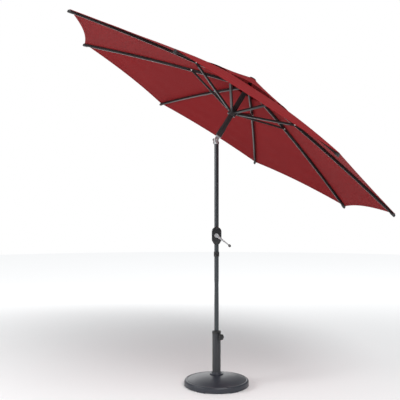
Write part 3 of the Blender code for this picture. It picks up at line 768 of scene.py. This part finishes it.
tilt = joints["canopy_tilt"]
up = -Vector(joints["runner_slide"]["axis"])
lean = Vector(tilt["axis"]).cross(up)
upper_place = Matrix.Translation(tilt["pos_m"]) @ Matrix((lean, tilt["axis"], up)).transposed().to_4x4()
upper_r, upper_bore = 0.019, 0.0178
crown_z = 0.4334
crown_foot = crown_z - 0.0133
vent_top = 0.0702
shoulder_z = 0.0263
black_coat = powder_coat("black coat", rgb(0.006, 0.006, 0.007), rgb(0.014, 0.014, 0.015), 0.46)
upper_mesh = moved(spun(pole_outline(upper_r, upper_bore, shoulder_z, crown_foot), 64), upper_place)
placed("upper_pole_tube", upper_mesh, black_coat, "upper", ["upper_pole"])
sleeve_top = shoulder_z + 0.068
sleeve_bore = upper_r + fit
sleeve_r = 0.0225
sleeve_neck_r = 0.0218
band = 0.0100
band_edge = 0.0008
sleeve_outline = [(sleeve_bore, shoulder_z), (sleeve_neck_r, shoulder_z), (sleeve_r, shoulder_z + band_edge),
                  (sleeve_r, shoulder_z + band), (sleeve_neck_r, shoulder_z + band + band_edge),
                  (sleeve_neck_r, sleeve_top - band - band_edge), (sleeve_r, sleeve_top - band),
                  (sleeve_r, sleeve_top - 0.0030)]
sleeve_outline += arc((sleeve_r - 0.0020, sleeve_top - 0.0020), 0.0020, 0, pi / 2, 5)
sleeve_outline += [(sleeve_bore, sleeve_top)]
placed("tilt_sleeve_grip", moved(spun(sleeve_outline, 64), upper_place), plastic_material, "upper",
       ["tilt_sleeve"])
eased("crown_casting", "crown_hub", plastic_material, "upper")
button_low = vent_top + 0.0012 + fit
button_r = 0.026
button_outline = [(0, 0.057), (0.004, 0.057), (0.004, button_low), (button_r - 0.0004, button_low),
                  (button_r, button_low + 0.0004), (button_r, button_low + 0.0012),
                  (0.0240, button_low + 0.0026), (0.0180, button_low + 0.0044), (0.0090, button_low + 0.0055),
                  (0, button_low + 0.0058)]
crown_place = upper_place @ Matrix.Translation((0, 0, crown_z))
placed("crown_button", moved(spun(button_outline, 48), crown_place), plastic_material, "upper",
       ["crown_finial"])

# ---- Runner and struts ----
# The runner slides on the upper pole and lifts eight forked struts. White nylon caps cover the pins that
# join the struts to the ribs.

eased("runner_casting", "runner_hub", plastic_material, "runner")
nylon = Finish("white nylon")
nylon_material = nylon.surface(
    Base_Color=nylon.mix(nylon.noise(90), rgb(0.62, 0.62, 0.60), rgb(0.74, 0.74, 0.72)),
    Roughness=0.45,
    Subsurface_Weight=0.05,
    Normal=nylon.bump(nylon.noise(600, 2), 0.0002, 0.3),
)
ribs = 8
crown_r = 0.035
rib_reach = 1.330 - crown_r
rib_fall = 0.2997
rib_bow = 0.0161
strut_joint = 0.3131
strut_half_w = 0.0094


def rib_line(share):
    """Height of a rib's centre line at a share of its reach, above its hinge."""
    return -rib_fall * share + 4 * rib_bow * share * (1 - share)


def rib_frame(number):
    """Radial, sideways and upward axes at a rib's hinge, as one matrix."""
    hinge = joints[f"rib_{number}_fold"]
    sideways = Vector(hinge["axis"])
    turn = Matrix((sideways.cross(up), sideways, up)).transposed().to_4x4()
    return Matrix.Translation(hinge["pos_m"]) @ turn


for number in range(1, ribs + 1):
    eased(f"strut_{number}_bar", f"strut_{number}", black_coat, f"strut_{number}", 0.0010)
    place = rib_frame(number)
    pin = Vector((strut_joint * rib_reach, 0, rib_line(strut_joint)))
    caps = [place @ (pin + Vector((0, side * strut_half_w, 0))) for side in (-1, 1)]
    grown(f"strut_{number}_pin_caps", point_mesh(caps), domes, f"strut_{number}", None, Radius=0.0058,
          Height=0.0022, Axis=joints[f"rib_{number}_fold"]["axis"], Material=nylon_material)

# ---- Ribs ----
# Eight slim aluminium tubes, slightly bowed, each with a plastic cap that holds the cloth's corner.

for number in range(1, ribs + 1):
    eased(f"rib_{number}_tube", f"rib_{number}", black_coat, f"rib_{number}", 0.0014)

# ---- Canopy cloth ----
# Solution-dyed polyester: eight gores sewn together over the ribs, with felled seams and a folded hem
# that is drawn in between the ribs. Each rib carries the cloth from one mid-gore line to the next.

opening = 0.125
cloth_end = 1 - 0.0031
cloth_lift = 0.0106
cloth_thick = 0.0009
hem_dip = 0.035
puckers = 14
pucker_h = 0.0016
seam_half_w = 0.007
half_gore = pi / ribs
gore_spread = round(sin(half_gore) * cos(half_gore), 3)

cloth = Finish("wine red polyester")
threads_map = cloth.node("UVMap", {"uv_map": "cloth"})
weft = cloth.node("SeparateXYZ", None, {"Vector": threads_map})
warp = Val(cloth.tree, weft.socket.node.outputs["Y"])
yarns_per_metre = 900
weave = (weft * (2 * pi * yarns_per_metre)).sine() * (warp * (2 * pi * yarns_per_metre)).sine()
slub = cloth.noise(160, 3, cloth.node("Mapping", None, {"Vector": threads_map, "Scale": (1, 0.12, 1)}))
fade = cloth.noise(3.2, 3)
cloth_colour = cloth.mix(fade, rgb(0.180, 0.008, 0.010), rgb(0.212, 0.010, 0.012))
cloth_colour = cloth.mix(slub * 0.25, cloth_colour, rgb(0.24, 0.016, 0.018))
cloth_material = cloth.surface(
    Base_Color=cloth_colour,
    Roughness=slub * 0.10 + 0.82,
    Normal=cloth.bump(weave * 0.6 + slub, 0.0003, 0.5),
    Specular_IOR_Level=0.12,
)

stitches = Tree("row of stitches", Spacing="Float", Stitch="Float", Thread="Float", Material="Material")
given = stitches.start
line = stitches.node("GeometryNodeMeshToCurve", None, {"Mesh": given["Geometry"]})
stops = stitches.node("GeometryNodeCurveToPoints", {"mode": "LENGTH"},
                      {"Curve": line, "Length": given["Spacing"]})
stitch_bar = stitches.node("GeometryNodeMeshUVSphere", None, {"Segments": 6, "Rings": 4, "Radius": 1.0})
stitch_axes = {0: given["Thread"], 1: given["Thread"], 2: given["Stitch"]}
stitch_size = stitches.node("ShaderNodeCombineXYZ", None, stitch_axes)
stitch_turn = stitches.node("FunctionNodeAlignRotationToVector", {"axis": "Z"},
                            {"Vector": stops.node.outputs["Tangent"]})
row = {"Points": stops, "Instance": stitch_bar, "Rotation": stitch_turn, "Scale": stitch_size}
stitches.finish(stitches.node("GeometryNodeInstanceOnPoints", None, row))

thread_finish = Finish("polyester thread")
thread_material = thread_finish.surface(
    Base_Color=thread_finish.mix(thread_finish.noise(500), rgb(0.20, 0.015, 0.02), rgb(0.30, 0.03, 0.035)),
    Roughness=0.6,
)


def gore_point(radius, across, height):
    """A point on the straight chord from a rib to mid-gore, in the rib's frame."""
    chord_in = radius * sin(half_gore) ** 2
    chord_out = radius * sin(half_gore) * cos(half_gore)
    return Vector((radius - chord_in * abs(across) - crown_r, chord_out * across, height))


def drawn_in(across):
    """How far a hem has left the straight: 0 at the rib, 1 at mid-gore."""
    return 1 - (1 - abs(across)) ** 2


def cloth_point(share, across, lift=0.0):
    """A point of the canopy: share runs from the crown to the hem, across from -1 to 1 at mid-gore."""
    to_hem = max(share - opening, 0) / (1 - opening)
    at = share * cloth_end - hem_dip / cos(half_gore) * drawn_in(across) / rib_reach * to_hem
    pucker = pucker_h * sin(puckers * pi * share) * share * (abs(across) * (1 - abs(across)) * 4) ** 2
    seam_rise = cloth_thick * max(0, 1 - abs(across) * radius_at(at) * gore_spread / seam_half_w)
    return gore_point(radius_at(at), across, rib_line(at) + cloth_lift + pucker + seam_rise + lift)


def radius_at(share):
    return crown_r + rib_reach * share


def sheet_mesh(point, shares, acrosses, length):
    """A grid of cloth with a map of its threads in metres."""
    mesh = bpy.data.meshes.new("cloth")
    points = [point(share, across) for share in shares for across in acrosses]
    wide = len(acrosses)
    faces = [(i * wide + j, (i + 1) * wide + j, (i + 1) * wide + j + 1, i * wide + j + 1)
             for i in range(len(shares) - 1) for j in range(wide - 1)]
    mesh.from_pydata(points, [], faces)
    threads = mesh.uv_layers.new(name="cloth")
    for loop in mesh.loops:
        sideways = points[loop.vertex_index].y
        threads.data[loop.index].uv = (sideways, shares[loop.vertex_index // wide] * length)
    mesh.shade_smooth()
    return mesh


def line_mesh(points):
    mesh = bpy.data.meshes.new("line")
    mesh.from_pydata([tuple(p) for p in points], [(i, i + 1) for i in range(len(points) - 1)], [])
    return mesh


def steps(start, end, count):
    return [start + (end - start) * i / count for i in range(count + 1)]


def thick(mesh, depth, side):
    """The sheet with its thickness, on its upper side for 1 or its lower for -1, and crisp cut edges."""
    blank = object_from("blank", mesh, cloth_material)
    wall = blank.modifiers.new("thickness", "SOLIDIFY")
    wall.thickness = depth
    wall.offset = side
    return crisp(applied(blank), radians(50))


def soften(piece):
    """The piece gets a mesh of its own, copied from the one it shared."""
    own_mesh(piece)


def stitched(name, points, place, number):
    """A row of stitches along a line on a rib's cloth."""
    seam = grown(name, moved(line_mesh(points), place), stitches, f"rib_{number}", "canopy_cloth",
                 Spacing=0.007, Stitch=0.0024, Thread=0.0006, Material=thread_material)
    soften(seam)
    return seam


def hemmed(name, point, shares, length, depth, place, number):
    """The folded band under a rib's part of a hem."""
    mesh = sheet_mesh(lambda share, across: point(share, across, -0.0001), shares, across_fine, length)
    band = thick(moved(mesh, place), depth, -1)
    return placed(name, band, cloth_material, f"rib_{number}")


across_fine = steps(-1, 0, 14)[:-1] + [-0.012, 0, 0.012] + steps(0, 1, 14)[1:]
share_fine = steps(opening, 1, 44)
hem_shares = steps(0.9835, 1, 2)
hem_stitch_share = 0.986
seam_stitch_y = 0.0065
hem_thick = 0.0010
above_cloth = cloth_thick + 0.0002
below_hem = -hem_thick - 0.0003
for number in range(1, ribs + 1):
    place = rib_frame(number)
    gore_mesh = sheet_mesh(cloth_point, share_fine, across_fine, rib_reach)
    gore_mesh.transform(place)
    sector = placed(f"canopy_{number}_cloth", thick(gore_mesh, cloth_thick, 1), cloth_material,
                    f"rib_{number}", [f"canopy_{number}"])
    hem = hemmed(f"canopy_{number}_hem", cloth_point, hem_shares, rib_reach, hem_thick, place, number)
    hem_line = [cloth_point(hem_stitch_share, across, below_hem) for across in steps(-0.985, 0.985, 60)]
    stitched(f"canopy_{number}_hem_stitches", hem_line, place, number)
    for side, word in ((-1, "left"), (1, "right")):
        seam_line = []
        for share in steps(opening + 0.005, 0.995, 60):
            across = side * seam_stitch_y / (gore_spread * radius_at(share))
            seam_line.append(cloth_point(share, across, above_cloth))
        stitched(f"canopy_{number}_seam_{word}", seam_line, place, number)
    for soft in (sector, hem):
        soften(soft)

# ---- Vent cap ----
# A smaller eight-sided cap of the same cloth covers the canopy's vent opening. Its corners are sewn
# down over the ribs, and it stands off between them so that wind can pass.

vent_r = 0.460
vent_stand_off = 0.018
vent_dip = 0.025
vent_inner = 0.016
vent_gap = 0.0012
tip_share = (vent_r - crown_r) / rib_reach
tip_height = rib_line(tip_share) + cloth_lift + 2 * vent_gap


def vent_point(share, across, lift=0.0):
    """A point of the cap: share runs from the crown button to its hem, across from -1 to 1 at mid-gore."""
    radius = vent_inner + (vent_r - vent_inner) * share - vent_dip * drawn_in(across) * share
    level = (radius - vent_inner) / (vent_r - vent_inner)
    stand_off = vent_stand_off * drawn_in(across) * share**2
    height = vent_top + 0.0002 + (tip_height - vent_top) * level + stand_off + lift
    return gore_point(radius, across, height)


vent_shares = steps(0, 1, 20)
vent_hem_shares = steps(0.965, 1, 2)
vent_stitch_share = 0.972
for number in range(1, ribs + 1):
    place = rib_frame(number)
    cap_mesh = sheet_mesh(vent_point, vent_shares, across_fine, vent_r)
    cap = placed(f"vent_{number}_cloth", thick(moved(cap_mesh, place), cloth_thick, 1), cloth_material,
                 f"rib_{number}", [f"vent_{number}"])
    cap_hem = hemmed(f"vent_{number}_hem", vent_point, vent_hem_shares, vent_r, cloth_thick, place, number)
    hem_line = [vent_point(vent_stitch_share, across, above_cloth) for across in steps(-0.99, 0.99, 30)]
    cap_stitches = stitched(f"vent_{number}_hem_stitches", hem_line, place, number)
    for soft in (cap, cap_hem):
        soften(soft)
